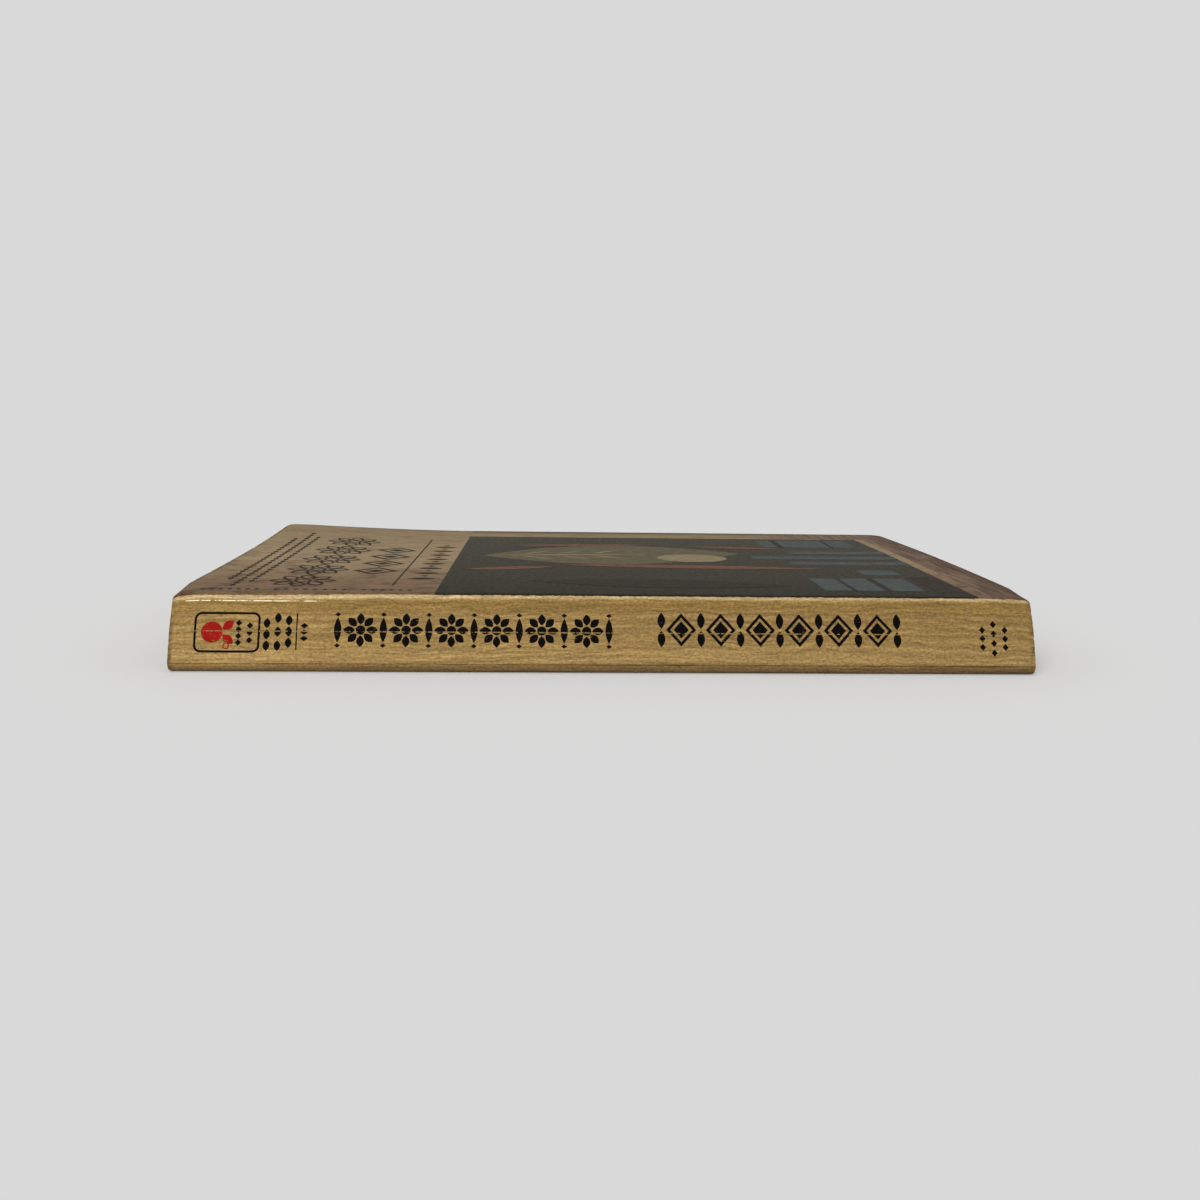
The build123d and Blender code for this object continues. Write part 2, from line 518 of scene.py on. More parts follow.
def strip(tree, along, low, high, blur):
    """1 where a coordinate lies between low and high, and 0 elsewhere, with soft ends."""
    rise = add_node(tree, "MapRange", smooth, {0: along, 1: low - blur, 2: low + blur})
    fall = add_node(tree, "MapRange", smooth, {0: along, 1: high - blur, 2: high + blur, 3: 1.0, 4: 0.0})
    return add_node(tree, "Math", multiply, {0: rise, 1: fall})


def patches(tree, sheet_place, long, wide, detail=3.0, roughness=0.55):
    """Noise on the flat sheet, whose patches are that many millimetres long and wide."""
    scaled = add_node(tree, "Mapping", inputs={"Vector": sheet_place, "Scale": (1 / long, 1 / wide, 1.0)})
    return add_node(tree, "TexNoise", inputs={
        "Vector": scaled, "Scale": 1.0, "Detail": detail, "Roughness": roughness})


# Varnished cover board. Its print is golden at the spine and tan on the covers, streaked
# lengthwise like planed wood, with a dark field on the front and a brown strip at the tail.
# The varnish has dulled, so that it hardly shines even at a low angle.
board_print, tree, shader = new_material("varnished printed cover board", 0.55, 0.03)
sheet_place = add_node(tree, "UVMap", {"uv_map": "flat_sheet"})
parts = add_node(tree, "SeparateXYZ", inputs={0: sheet_place})
u, v = parts.outputs[0], parts.outputs[1]

# The cover was folded a little askew, so that the tan print of the front reaches down round
# the fold at the head
askew = add_node(tree, "MapRange", smooth, {0: u, 1: -80.0, 2: -40.0, 3: -0.35, 4: 0.0})
ragged = patches(tree, sheet_place, 1.5, 1.5)
print_v = add_node(tree, "Math", {"operation": "SUBTRACT"}, {0: v, 1: askew})
print_v = add_node(tree, "Math", {"operation": "MULTIPLY_ADD"}, {0: ragged, 1: 0.5, 2: print_v})

# Tone across the sheet, from the back cover over the spine to the front's fore edge. Two darker bands of the
# figure run all along the spine. Below the foot's crease the tone is darker with painted shade, where the
# fold turns under, and it keeps that tone over the back cover. The pale band along the top fold is partly
# varnish rubbed by hands and partly a painted highlight where the fold faces up, and it lies a little lower
# at the head.
span = front_fore_edge - back_start
tone_place = add_node(tree, "MapRange", inputs={0: v, 1: back_start, 2: front_fore_edge})
pale_band_low = add_node(tree, "MapRange", smooth, {0: u, 1: -70.0, 2: -10.0, 3: 0.45, 4: 0.0})
pale_band_v = add_node(tree, "Math", {"operation": "ADD"}, {0: v, 1: pale_band_low})
spine_place = add_node(tree, "MapRange", inputs={0: pale_band_v, 1: back_start, 2: front_fore_edge})
# Painted light in these stops: darker below the foot's crease for shade, and paler at the top fold for a
# highlight mixed with rubbed varnish
spine_stops = [
    (back_start, "#7e6542"), (foot_start - 0.7, "#7c643f"), (foot_start - 0.3, "#8f7446"),
    (foot_start + 0.6, "#9c8050"), (-8.5, "#8f7445"), (-6.4, "#967b4b"), (-5.5, "#896d40"),
    (-4.8, "#997e4f"), (-4.0, "#896d40"), (-2.8, "#8a6f3f"), (-1.25, "#846837"), (-0.95, "#ab9064"),
    (-0.7, "#b89d70"), (2.5, "#bda275")]
tone = add_node(tree, "ValToRGB", inputs={"Fac": spine_place},
                stops=[((place - back_start) / span, value) for place, value in spine_stops])
# The front's tan is set darker than the spine's gold: partly its own print, and partly painted shade, as the
# top lies at a grazing angle to the light
cover_stops = [(0.0, "#705c47"), (12.0, "#79644c"), (45.0, "#928063"), (front_fore_edge, "#837051")]
cover_tone = add_node(tree, "ValToRGB", inputs={"Fac": tone_place},
                      stops=[((place - back_start) / span, value) for place, value in cover_stops])

# Brownish mottling of the covers, strongest near the spine
mottle = patches(tree, sheet_place, 7.0, 5.0, 5.0, 0.65)
mottling = add_node(tree, "ValToRGB", inputs={"Fac": mottle},
                    stops=[(0.36, "#ae9b8e"), (0.5, "#f2ece6"), (0.64, "#fff8e8")])
near_spine = add_node(tree, "MapRange", inputs={0: v, 1: 0.0, 2: 70.0, 3: 1.0, 4: 0.35})
mottled = add_node(tree, "Mix", {"data_type": "RGBA", "blend_type": "MULTIPLY"},
                   {0: near_spine, 6: cover_tone, 7: mottling})
print_edge = 0.0
past_sheet = 200.0
on_cover = strip(tree, print_v, print_edge, past_sheet, 0.12)
based = add_node(tree, "Mix", colours, {0: on_cover, 6: tone, 7: mottled.outputs[2]})

# A figure of long wavy lines, streaks up to 30 mm long, and finer wrinkles and grain, each as its range of
# noise and the darkest and lightest tone that it gives. The tone is also painted lighter at the head and
# darker toward the tail: a painted falloff of the light, which is stronger at the head end.
bend = patches(tree, sheet_place, 9.0, 9.0, 1.0)
bent = add_node(tree, "VectorMath", {"operation": "MULTIPLY_ADD"},
                {0: bend.outputs[1], 1: (0.0, 2.6, 0.0), 2: sheet_place})
long_waves = patches(tree, bent, 30.0, 2.2, 3.0)
contour = add_node(tree, "Math", {"operation": "PINGPONG"}, {0: long_waves, 1: 0.04})
streaks = patches(tree, bent, 30.0, 0.8, 3.0, 0.6)
wrinkles = patches(tree, bent, 9.0, 0.55, 4.0, 0.7)
grain = patches(tree, sheet_place, 0.7, 0.5, 3.0, 0.65)
# Painted light: lighter at the head and darker toward the tail, as the light falls off along the book
painted_light_falloff = add_node(tree, "MapRange", inputs={0: u, 1: -half_length, 2: half_length, 3: 1.07, 4: 0.87})
wood_and_light_tone = painted_light_falloff
for layer, low, high, darkest, lightest in [
        (contour, 0.0, 0.013, 0.74, 1.03), (streaks, 0.36, 0.64, 0.8, 1.2),
        (wrinkles, 0.36, 0.64, 0.84, 1.15), (grain, 0.36, 0.64, 0.76, 1.26)]:
    layer_tone = add_node(tree, "MapRange", inputs={0: layer, 1: low, 2: high, 3: darkest, 4: lightest})
    wood_and_light_tone = add_node(tree, "Math", multiply, {0: wood_and_light_tone, 1: layer_tone})
calm_cover = add_node(tree, "Math", multiply, {0: on_cover, 1: 0.5})
wood_and_light_tone = add_node(tree, "Mix", {"data_type": "FLOAT"}, {0: calm_cover, 2: wood_and_light_tone, 3: 1.0})
wooden_and_lit = add_node(tree, "VectorMath", {"operation": "SCALE"}, {0: based.outputs[2], 3: wood_and_light_tone.outputs[0]})

# The brown strip at the tail of the front, which runs on along the fore edge and thins out to
# a dark line there, then the dark field
picture_head = -36.0
picture_tail = 77.8
picture_fore = 92.9
brown_start = 80.4
brown_fade = 54.0
brown_grain = patches(tree, sheet_place, 1.3, 16.0, 4.0, 0.6)
outward = add_node(tree, "MapRange", inputs={0: u, 1: brown_start, 2: half_length, 4: -0.16})
brown_place = add_node(tree, "Math", {"operation": "ADD"}, {0: brown_grain, 1: outward})
brown = add_node(tree, "ValToRGB", inputs={"Fac": brown_place},
                 stops=[(0.28, "#483527"), (0.44, "#5e4939"), (0.6, "#76614d")])
at_tail = add_node(tree, "Math", multiply, {0: strip(tree, u, brown_start, past_sheet, 0.4), 1: on_cover})
past_picture = add_node(tree, "Math", multiply, {
    0: strip(tree, u, brown_fade, past_sheet, 9.0), 1: strip(tree, v, picture_fore, past_sheet, 0.5)})
in_brown = add_node(tree, "Math", {"operation": "MAXIMUM"}, {0: at_tail, 1: past_picture})
edged = add_node(tree, "MapRange", inputs={0: v, 1: front_fore_edge - 6.0, 2: front_fore_edge - 2.0, 4: 0.8})
edge_line = add_node(tree, "Math", multiply, {0: strip(tree, u, picture_head, past_sheet, 0.3), 1: edged})
lined = add_node(tree, "Mix", colours, {0: edge_line, 6: wooden_and_lit, 7: colour("#474135")})
with_tail = add_node(tree, "Mix", colours, {0: in_brown, 6: lined.outputs[2], 7: brown})
# The dark field lightens toward the fore edge: a painted sheen of the varnish, seen at a grazing angle
dark_place = add_node(tree, "MapRange", inputs={0: v, 1: 0.0, 2: picture_fore})
dark = add_node(tree, "ValToRGB", inputs={"Fac": dark_place},
                stops=[(0.0, "#28241b"), (0.25, "#322e23"), (1.0, "#3a362b")])
speckle = patches(tree, sheet_place, 1.0, 1.3, 4.0, 0.65)
dark_tone = add_node(tree, "MapRange", inputs={0: speckle, 1: 0.36, 2: 0.64, 3: 0.55, 4: 1.45})
dark_field_with_sheen = add_node(tree, "VectorMath", {"operation": "SCALE"}, {0: dark, 3: dark_tone.outputs[0]})
in_picture = add_node(tree, "Math", multiply, {
    0: strip(tree, u, picture_head, picture_tail, 0.12),
    1: strip(tree, print_v, print_edge, picture_fore, 0.1)})
printed = add_node(tree, "Mix", colours, {0: in_picture, 6: with_tail.outputs[2], 7: dark_field_with_sheen})

# Painted shade in the crease where the foot turns under, and the edges of the sheet rubbed dark and dirty
foot_crease = strip(tree, v, foot_start - 0.6, foot_start - 0.35, 0.08)
crease_shade_amount = add_node(tree, "MapRange", inputs={0: wrinkles, 1: 0.35, 2: 0.65, 3: 0.9, 4: 0.3})
crease_shade_mask = add_node(tree, "Math", multiply, {0: foot_crease, 1: crease_shade_amount})
with_crease_shade = add_node(tree, "Mix", colours, {0: crease_shade_mask, 6: printed.outputs[2], 7: colour("#44341b")})
along_end = add_node(tree, "Math", {"operation": "ABSOLUTE"}, {0: u})
end_rub = add_node(tree, "MapRange", inputs={0: along_end, 1: half_length - 1.3, 2: half_length - 0.1})
fore_rub = add_node(tree, "MapRange", inputs={0: v, 1: front_fore_edge - 4.0, 2: front_fore_edge - 0.5})
edge_rub = add_node(tree, "Math", {"operation": "MAXIMUM"}, {0: end_rub, 1: fore_rub})
rub_noise = patches(tree, sheet_place, 1.6, 1.6, 4.0, 0.6)
rub_share = add_node(tree, "MapRange", inputs={0: rub_noise, 1: 0.42, 2: 0.6, 3: 0.1, 4: 0.85})
rubbed = add_node(tree, "Math", multiply, {0: edge_rub, 1: rub_share})
worn = add_node(tree, "Mix", colours, {0: rubbed, 6: with_crease_shade.outputs[2], 7: colour("#453422")})

# Short dashes along the ridge under the fold, at the head: a painted glint of a lamp on the ridge, in near
# white
glint_ridge = add_node(tree, "Math", multiply, {
    0: strip(tree, v, -1.86, -1.68, 0.05), 1: strip(tree, u, -87.0, -60.0, 2.0)})
glint_breaks = add_node(tree, "MapRange", inputs={
    0: patches(tree, sheet_place, 2.0, 1.5, 3.0, 0.7), 1: 0.41, 2: 0.5})
painted_glint = add_node(tree, "Math", multiply, {0: glint_ridge, 1: glint_breaks})
with_painted_glint = add_node(tree, "Mix", colours, {0: painted_glint, 6: worn.outputs[2], 7: colour("#fff3d6")})

# Two fine parallel scratches, 5 mm long, slanted across the spine before the first band
scratch_place = (-57.6, -8.3, 0.0)
scratch_turn = math.radians(35)
along_scratch = add_node(tree, "Mapping", {"vector_type": "TEXTURE"}, {
    "Vector": sheet_place, "Location": scratch_place, "Rotation": (0, 0, scratch_turn)})
parts = add_node(tree, "SeparateXYZ", inputs={0: along_scratch})
lines = add_node(tree, "Math", {"operation": "PINGPONG"}, {0: parts.outputs[1], 1: 0.4})
line = add_node(tree, "MapRange", inputs={0: lines, 1: 0.03, 2: 0.09, 3: 1.0, 4: 0.0})
within_length = strip(tree, parts.outputs[0], -2.6, 2.4, 0.7)
within_width = strip(tree, parts.outputs[1], -0.5, 1.0, 0.05)
scratched = add_node(tree, "Math", multiply, {0: line, 1: within_length})
scratched = add_node(tree, "Math", multiply, {0: scratched, 1: within_width})
scratch_share = add_node(tree, "Math", multiply, {0: scratched, 1: 0.6})
with_scratches = add_node(tree, "Mix", colours, {
    0: scratch_share, 6: with_painted_glint.outputs[2], 7: colour("#634a25")})
tree.links.new(with_scratches.outputs[2], shader.inputs["Base Color"])

# The relief of the wrinkles and creases, up to 0.05 mm deep
relief = add_node(tree, "Math", multiply, {0: wrinkles, 1: 0.1})
relief = add_node(tree, "Math", {"operation": "MULTIPLY_ADD"}, {0: grain, 1: 0.05, 2: relief})
crease_low, crease_high = -8.15, -7.95
middle_crease = strip(tree, v, crease_low, crease_high, 0.1)
relief = add_node(tree, "Math", {"operation": "MULTIPLY_ADD"}, {0: middle_crease, 1: -0.02, 2: relief})
relief = add_node(tree, "Math", {"operation": "MULTIPLY_ADD"}, {0: foot_crease, 1: -0.05, 2: relief})
relief = add_node(tree, "Math", {"operation": "MULTIPLY_ADD"}, {0: scratched, 1: -0.04, 2: relief})
bump = add_node(tree, "Bump", inputs={"Strength": 0.7, "Distance": 0.001, "Height": relief})
tree.links.new(bump.outputs[0], shader.inputs["Normal"])

# The board's unprinted inside: pale and uncoated, with pulp flecks
board_inside, tree, shader = new_material("uncoated inside of the cover board", 0.85, 0.2)
sheet_place = add_node(tree, "UVMap", {"uv_map": "flat_sheet"})
pale = add_node(tree, "ValToRGB", inputs={"Fac": patches(tree, sheet_place, 25.0, 25.0, 4.0)},
                stops=[(0.35, "#bba87f"), (0.65, "#cbba94")])
flecks = add_node(tree, "MapRange", inputs={0: patches(tree, sheet_place, 0.4, 0.4, 2.0), 3: 0.93, 4: 1.07})
flecked = add_node(tree, "VectorMath", {"operation": "SCALE"}, {0: pale, 3: flecks.outputs[0]})
tree.links.new(flecked.outputs[0], shader.inputs["Base Color"])

# Its cut edge: grey-brown pulp, rubbed dark by hands
board_edge, tree, shader = new_material("cut edge of the cover board", 0.8, 0.15)
sheet_place = add_node(tree, "UVMap", {"uv_map": "flat_sheet"})
pulp = add_node(tree, "ValToRGB", inputs={"Fac": patches(tree, sheet_place, 1.4, 1.4)},
                stops=[(0.35, "#675233"), (0.52, "#8f764a"), (0.7, "#b59c69")])
tree.links.new(pulp.outputs[0], shader.inputs["Base Color"])

spine_rows = [*evenly(back_opening, back_start, 3), *evenly(back_start, foot_start, 12),
              *evenly(foot_start, spine_start, 30), *evenly(spine_start, top_fold_half, 10),
              *evenly(top_fold_half, front_opening, 5), front_opening]
board_materials = [board_print, board_inside, board_edge]
spine_wrap = make_object(board(spine_rows), "spine_wrap", *board_materials)
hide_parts("spine_cover")
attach(spine_wrap, "book")

# The front cover
# The part of the sheet beyond the glued strip, of the same printed board. Its rows lie close together beside
# the strip, and handling has curled it up along the head.
opening_bend = 2.6
front_rows = [*evenly(front_opening, front_opening + opening_bend, 8),
              *places(front_opening + opening_bend, front_fore_edge, 1.3)]
front_sheet = make_object(board(front_rows, front_fore_edge), "front_sheet", *board_materials)
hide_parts("front_cover")
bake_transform(front_sheet)

# The back cover
# The sheet's other end, of the same board and flat under the block. It is plain, in the darker tan of the
# painted shade at the spine's foot, which its tone keeps over the back cover, and its rows lie close beside
# the strip as the front cover's do.
back_rows = [*places(back_fore_edge, back_opening - opening_bend, 1.6)[:-1],
             *evenly(back_opening - opening_bend, back_opening, 8), back_opening]
back_sheet = make_object(board(back_rows, back_fore_edge), "back_sheet", *board_materials)
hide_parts("back_cover")
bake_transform(back_sheet)

# The print on the spine
# Black and red ink in a thin film: a framed fruit with two leaves at the head, two bands of
# ornament, and columns of small leaves and lozenges, all printed before the sheet was folded.
# The ink has cracked along the spine's middle crease and rubbed off in specks.

ink_film = 0.02
ink_step = 0.008


def add_shape(sheet, form, place, size, turn=0.0, line=0.0, ink=0):
    """Adds one flat printed shape: a disc, leaf, lozenge, bar or rounded frame, filled or as
    a line of that width. Each ink was laid over the ones before it."""
    sides = {"disc": 32, "leaf": 28, "lozenge": 4, "bar": 4, "frame": 36}[form]
    points = bmesh.ops.create_circle(sheet, cap_ends=True, segments=sides, radius=0.5)["verts"]
    for point in points:
        if form == "bar":
            point.co = Matrix.Rotation(math.pi / 4, 3, "Z") @ point.co * math.sqrt(2)
        if form == "frame":
            rounded = 0.36 * min(size)
            for axis, extent in enumerate(size):
                off_middle = point.co[axis]
                straight = 1 - rounded / extent
                point.co[axis] = off_middle * (1 - straight)
                if abs(off_middle) > 0.01:
                    point.co[axis] += math.copysign(straight / 2, off_middle)
        if form == "leaf":
            point.co.y *= 2 * abs(point.co.y)
        point.co = Vector((point.co.x * size[0], point.co.y * size[1], 0.0))
        point.co = Matrix.Rotation(math.radians(turn), 3, "Z") @ point.co + Vector((*place, ink * ink_step))
    face = points[0].link_faces[0]
    face.material_index = ink
    if line:
        bmesh.ops.inset_individual(sheet, faces=[face], thickness=line, use_even_offset=True)
        bmesh.ops.delete(sheet, geom=[face], context="FACES")


def add_row(sheet, form, start, end, size, pitch, ink=0):
    """Adds a row of like shapes from start to end, about a pitch apart and pointing along it."""
    start, end = Vector(start), Vector(end)
    turn = math.degrees(math.atan2(end.y - start.y, end.x - start.x))
    count = round((end - start).length / pitch)
    for number in range(count + 1):
        add_shape(sheet, form, start.lerp(end, number / count), size, turn, ink=ink)


def add_flower(sheet, middle, reach, petal, line=0.0):
    """Adds a flower: a disc with eight petals round it, filled or as lines."""
    add_shape(sheet, "disc", middle, (reach * 0.83, reach * 0.83), line=line)
    for turn in range(0, 360, 45):
        out = Vector((math.cos(math.radians(turn)), math.sin(math.radians(turn))))
        add_shape(sheet, "leaf", Vector(middle) + out * reach, petal, turn=turn, line=line)


def cut_along(sheet, direction, low, high, step):
    """Cuts flat shapes into strips, so that they can follow the sheet's bends."""
    for number in range(round((high - low) / step) + 1):
        everything = sheet.verts[:] + sheet.edges[:] + sheet.faces[:]
        place = Vector(direction) * (low + number * step)
        bmesh.ops.bisect_plane(sheet, geom=everything, dist=1e-5, plane_co=place, plane_no=direction)


def lay_ink(sheet):
    """Gives the flat shapes the ink's thickness, part of it sunk into the board, and folds them
    as the board is folded."""
    raised = bmesh.ops.extrude_face_region(sheet, geom=sheet.faces[:])["geom"]
    above = set(vertices_in(raised))
    for vertex in sheet.verts:
        vertex.co.z = vertex.co.z + ink_film if vertex in above else -ink_film
    fold_sheet(sheet)


def ink_material(name, ink, under, specks, crease):
    """Printing ink that has rubbed off in specks, and along the spine's crease, down to the stock."""
    material, tree, shader = new_material(name, 0.6, 0.03)
    sheet_place = add_node(tree, "UVMap", {"uv_map": "flat_sheet"})
    v = add_node(tree, "SeparateXYZ", inputs={0: sheet_place}).outputs[1]
    rub = patches(tree, sheet_place, 1.1, 0.35, 3.0, 0.7)
    speck = add_node(tree, "MapRange", inputs={0: rub, 1: specks, 2: specks + 0.06})
    break_up = patches(tree, sheet_place, 0.8, 3.0, 2.0, 0.6)
    broken = add_node(tree, "MapRange", inputs={0: break_up, 1: 0.4, 2: 0.55, 4: crease})
    line = add_node(tree, "Math", multiply, {0: strip(tree, v, crease_low, crease_high, 0.06), 1: broken})
    gone = add_node(tree, "Math", {"operation": "MAXIMUM"}, {0: speck, 1: line})
    shade = add_node(tree, "MapRange", inputs={
        0: patches(tree, sheet_place, 2.5, 2.5), 1: 0.3, 2: 0.7, 3: 0.82, 4: 1.2})
    toned = add_node(tree, "VectorMath", {"operation": "SCALE"}, {0: colour(ink)[:3], 3: shade.outputs[0]})
    left = add_node(tree, "Mix", colours, {0: gone, 6: toned, 7: colour(under)})
    tree.links.new(left.outputs[2], shader.inputs["Base Color"])
    return material


black_ink = ink_material("black offset ink", "#070605", "#957a4c", 0.66, 0.9)
red_ink = ink_material("red offset ink", "#8e1510", "#957a4c", 0.62, 0.8)
red = 1

# Places and sizes are those on the flat sheet: along the spine, and then across it
spine_print = bmesh.new()
add_shape(spine_print, "frame", (-77.4, -8.3), (13.2, 8.3), line=0.45)
add_shape(spine_print, "disc", (-80.4, -8.3), (4.3, 4.3), ink=red)
for side in (-1, 1):
    add_shape(spine_print, "leaf", (-77.2, -8.3 + side * 1.45), (2.8, 1.7), turn=side * 40, ink=red)
add_shape(spine_print, "disc", (-77.5, -11.1), (1.3, 1.3), line=0.2, ink=red)
add_shape(spine_print, "bar", (-63.5, -8.1), (0.25, 7.6))

# Each column has its form, its place along the spine, its top and bottom, and the form's
# size and pitch
for form, column, top, bottom, size, pitch in [
        ("lozenge", -75.1, -6.4, -10.4, (1.3, 1.3), 1.33), ("lozenge", -72.9, -6.9, -9.9, (1.3, 1.3), 1.33),
        ("leaf", -69.5, -6.4, -11.0, (2.1, 1.35), 2.3), ("leaf", -67.3, -5.3, -11.0, (2.1, 1.35), 2.3),
        ("leaf", -65.1, -5.8, -10.4, (2.1, 1.35), 2.3), ("lozenge", -62.0, -6.9, -9.5, (1.1, 1.7), 1.3),
        ("lozenge", 77.9, -7.0, -10.6, (1.5, 1.3), 1.8), ("lozenge", 80.3, -5.8, -11.8, (1.5, 1.3), 1.8),
        ("lozenge", 82.7, -7.0, -10.6, (1.5, 1.3), 1.8)]:
    add_row(spine_print, form, (column, top), (column, bottom), size, pitch)

# The first band is a row of flowers between upright leaves
flowers = 6
flower_pitch = 9.2
band_start, band_middle = -55.3, -7.7
for number in range(flowers):
    add_flower(spine_print, (band_start + flower_pitch * (number + 0.5), band_middle), 2.3, (2.4, 1.55))
for number in range(flowers + 1):
    place = band_start + flower_pitch * number
    add_shape(spine_print, "leaf", (place, band_middle), (5.2, 1.5), turn=90)
    for side in (-1, 1):
        add_shape(spine_print, "lozenge", (place, band_middle + side * 3.2), (1.2, 0.9))

# The second band is a chain of lozenges, with a pair of leaves between each and the next
lozenges = 6
lozenge_pitch = 8.2
band_start, band_middle = 10.7, -7.3
for number in range(lozenges):
    place = band_start + lozenge_pitch * (number + 0.5)
    add_shape(spine_print, "lozenge", (place, band_middle), (6.2, 6.9), line=0.6)
    add_shape(spine_print, "lozenge", (place, band_middle), (3.2, 3.6))
for number in range(lozenges + 1):
    place = band_start + lozenge_pitch * number
    for side in (-1, 1):
        add_shape(spine_print, "leaf", (place, band_middle + side * 1.9), (3.4, 1.6), turn=90)

cut_along(spine_print, (0, 1, 0), -12.5, -4.0, 1.0)
lay_ink(spine_print)
spine_ink = make_object(spine_print, "spine_ink", black_ink, red_ink)
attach(spine_ink, "book")

# The print on the front cover
# The same kind of ink film: dark flowers, lozenges and rows of small leaves on the tan field,
# and on the dark field a great leaf with veins, a disc, slender leaves and bars in flat inks.

# Each ink's colour, and the colour that shows where it has rubbed off
inks = [("dark grey", "#1c1a17", "#76624b"), ("sage green", "#5a523e", "#3b362c"),
        ("slate grey", "#444a48", "#34302a"), ("umber", "#2f2820", "#3b362c"),
        ("straw", "#7e7256", "#5a523e"), ("brick", "#664636", "#3b362c")]
front_inks = [ink_material(name + " offset ink", ink, under, 0.6, 0.0) for name, ink, under in inks]
dark, sage, slate, umber, straw, brick = range(6)

# The tan field, from the head of the cover on
front_print = bmesh.new()
for number in range(5):
    add_flower(front_print, (-66.0, 14.0 + number * 15.0), 4.7, (5.2, 3.5), line=0.7)
for number in range(4):
    across = 28.0 + number * 11.0
    add_shape(front_print, "lozenge", (-52.6, across), (10.5, 9.8), line=0.95, ink=dark)
    add_shape(front_print, "lozenge", (-52.6, across), (4.2, 3.6), ink=dark)
add_shape(front_print, "bar", (-45.9, 46.0), (0.4, 74.0), ink=dark)
for number in range(8):
    across = 18.0 + number * 7.2
    add_shape(front_print, "leaf", (-40.6, across), (5.8, 2.4), ink=dark)
    add_shape(front_print, "lozenge", (-40.6, across + 3.6), (2.0, 1.6), ink=dark)
for line, start, end in [(-82.0, 16.0, 74.0), (-79.3, 8.0, 84.0), (-76.7, 13.0, 78.0)]:
    add_row(front_print, "leaf", (line, start), (line, end), (2.5, 1.2), 2.9, ink=dark)
for start, end in [(-84.0, -73.0), (-69.0, -55.0), (-51.0, -41.5)]:
    add_row(front_print, "lozenge", (start, 3.4), (end, 3.4), (1.3, 1.6), 1.9, ink=dark)

# The great leaf on the dark field, with its midrib and three pairs of veins
leaf_turn = 6.0
leaf_middle = Vector((4.0, 58.0))
leaf_along = Vector((math.cos(math.radians(leaf_turn)), math.sin(math.radians(leaf_turn))))
leaf_across = Vector((-leaf_along.y, leaf_along.x))
add_shape(front_print, "leaf", leaf_middle, (68.0, 34.0), turn=leaf_turn, ink=sage)
add_shape(front_print, "leaf", leaf_middle - leaf_along * 11.0, (40.0, 1.3), turn=leaf_turn, ink=straw)
for rib in (-20.0, -11.0, -2.0):
    for side in (-1, 1):
        root = leaf_middle + leaf_along * rib + leaf_across * side * 4.4
        add_shape(front_print, "leaf", root, (9.5, 1.1), turn=leaf_turn + side * 38, ink=straw)

# The rest of the dark field: a pale disc, slender leaves, and bars in two inks
add_shape(front_print, "disc", (24.0, 52.5), (18.0, 13.0), ink=straw)
for place, size, turn in [((-4.0, 75.5), (42.0, 3.6), 4.0), ((38.0, 73.0), (26.0, 3.6), -6.0),
                          ((22.0, 38.0), (64.0, 5.0), -3.0), ((-22.0, 34.0), (22.0, 4.2), 12.0)]:
    add_shape(front_print, "leaf", place, size, turn=turn, ink=brick)
for place, size in [((58.0, 14.5), (22.0, 16.0)), ((66.0, 31.0), (9.0, 7.0)), ((63.0, 45.5), (30.0, 5.0)),
                    ((59.0, 55.0), (38.0, 5.0)), ((65.0, 64.5), (26.0, 5.0)), ((60.0, 82.0), (26.0, 14.0))]:
    add_shape(front_print, "bar", place, size, ink=slate)
for place, size in [((74.0, 14.5), (6.0, 20.0)), ((53.5, 14.5), (1.0, 16.0)), ((61.0, 14.5), (1.6, 16.0)),
                    ((52.0, 82.0), (1.6, 14.0)), ((66.5, 82.0), (1.0, 14.0))]:
    add_shape(front_print, "bar", place, size, ink=umber)
add_shape(front_print, "leaf", (12.0, 14.0), (58.0, 11.0), turn=-4.0, ink=umber)

# The ink is cut finely beside the glued strip and in a 6 mm grid over the rest, so that it follows the
# folded sheet's shape
cut_along(front_print, (0, 1, 0), front_opening, front_opening + opening_bend, opening_bend / 8)
cut_along(front_print, (0, 1, 0), 12.0, 100.0, 6.0)
cut_along(front_print, (1, 0, 0), -84.0, 78.0, 6.0)
lay_ink(front_print)
front_ink = make_object(front_print, "front_ink", *front_inks)
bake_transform(front_ink)

# The table and the studio light
# The book lies on a pale table top that runs on into a backdrop of the same grey. A broad
# lamp lights it from above and the front left, and an even white room fills in the rest.


def background_rays(tree):
    """1 for the rays that show the background itself, straight or by way of gloss or glass."""
    rays = add_node(tree, "LightPath")
    shiny = add_node(tree, "Math", {"operation": "MAXIMUM"},
                     {0: rays.outputs["Is Glossy Ray"], 1: rays.outputs["Is Transmission Ray"]})
    return add_node(tree, "Math", {"operation": "MAXIMUM"}, {0: rays.outputs["Is Camera Ray"], 1: shiny})


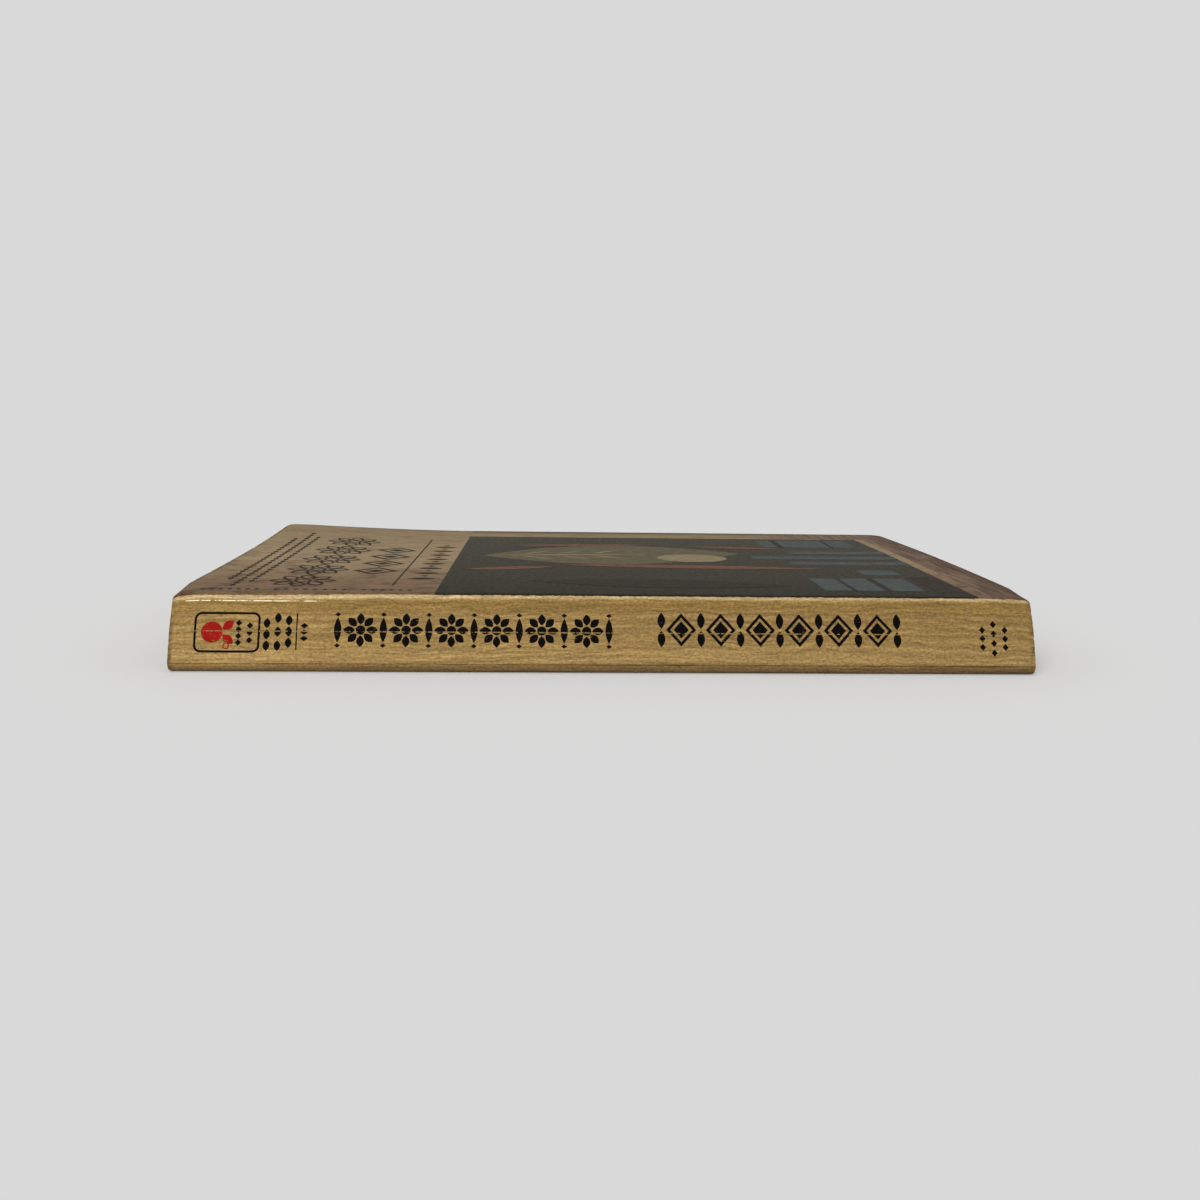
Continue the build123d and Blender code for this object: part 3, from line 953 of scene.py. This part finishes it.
table = bmesh.new()
bmesh.ops.create_circle(table, cap_ends=True, segments=96, radius=6000.0)
backdrop_grey = "#d9d9d9"
table_material, tree, shader = new_material("pale table top", 1.0, 0.0)
shader.inputs["Base Color"].default_value = colour("#dadada")
position = add_node(tree, "TexCoord").outputs["Object"]
distance = add_node(tree, "VectorMath", {"operation": "LENGTH"}, {0: position}).outputs["Value"]
far = add_node(tree, "MapRange", smooth, {0: distance, 1: 0.16, 2: 0.5})
share = add_node(tree, "Math", multiply, {0: far, 1: background_rays(tree)})
plain = add_node(tree, "Emission", inputs={"Color": colour(backdrop_grey)})
faded = add_node(tree, "MixShader", inputs={0: share, 1: shader, 2: plain})
tree.links.new(faded.outputs[0], tree.nodes["Material Output"].inputs["Surface"])
table_top = make_object(table, "table_top", table_material)

world = bpy.data.worlds.new("studio")
bpy.context.scene.world = world
world.use_nodes = True
tree = world.node_tree
room = tree.nodes["Background"]
room.inputs["Color"].default_value = (1.0, 1.0, 1.0, 1.0)
room.inputs["Strength"].default_value = 0.55
behind = add_node(tree, "Background", inputs={"Color": colour(backdrop_grey), "Strength": 1.0})
chosen = add_node(tree, "MixShader", inputs={0: background_rays(tree), 1: room, 2: behind})
tree.links.new(chosen.outputs[0], tree.nodes["World Output"].inputs["Surface"])

key = bpy.data.lights.new("soft_key", "SUN")
key.energy = 2.1
key.angle = math.radians(50)
key_light = bpy.data.objects.new("soft_key", key)
bpy.context.scene.collection.objects.link(key_light)
key_light.rotation_euler = (math.radians(48), 0, math.radians(-22))

# The photograph's view
# Fitted to the book's outline: turned 2.4 degrees from square to the spine and looking
# down at it by 10.7 degrees, from 205 mm in front of it.
photo_size = 1200
focal_pixels = 1044.4
camera_place = (-0.01161, -0.26275, 0.0545)
camera = bpy.data.cameras.new("photo_camera")
camera.sensor_width = 36.0
camera.lens = focal_pixels / photo_size * camera.sensor_width
camera.clip_start = 0.01
camera.clip_end = 50.0
pitch = Matrix.Rotation(math.radians(10.673), 3, "X")
roll = Matrix.Rotation(math.radians(0.874), 3, "Y")
turn = Matrix.Rotation(math.radians(2.448), 3, "Z")
right, forward, up = pitch @ roll @ turn
viewpoint = bpy.data.objects.new("photo_camera", camera)
bpy.context.scene.collection.objects.link(viewpoint)
facing = Matrix((right, up, -forward)).transposed().to_4x4()
viewpoint.matrix_world = Matrix.Translation(camera_place) @ facing
bpy.context.scene.camera = viewpoint
bpy.context.scene.view_settings.view_transform = "Standard"
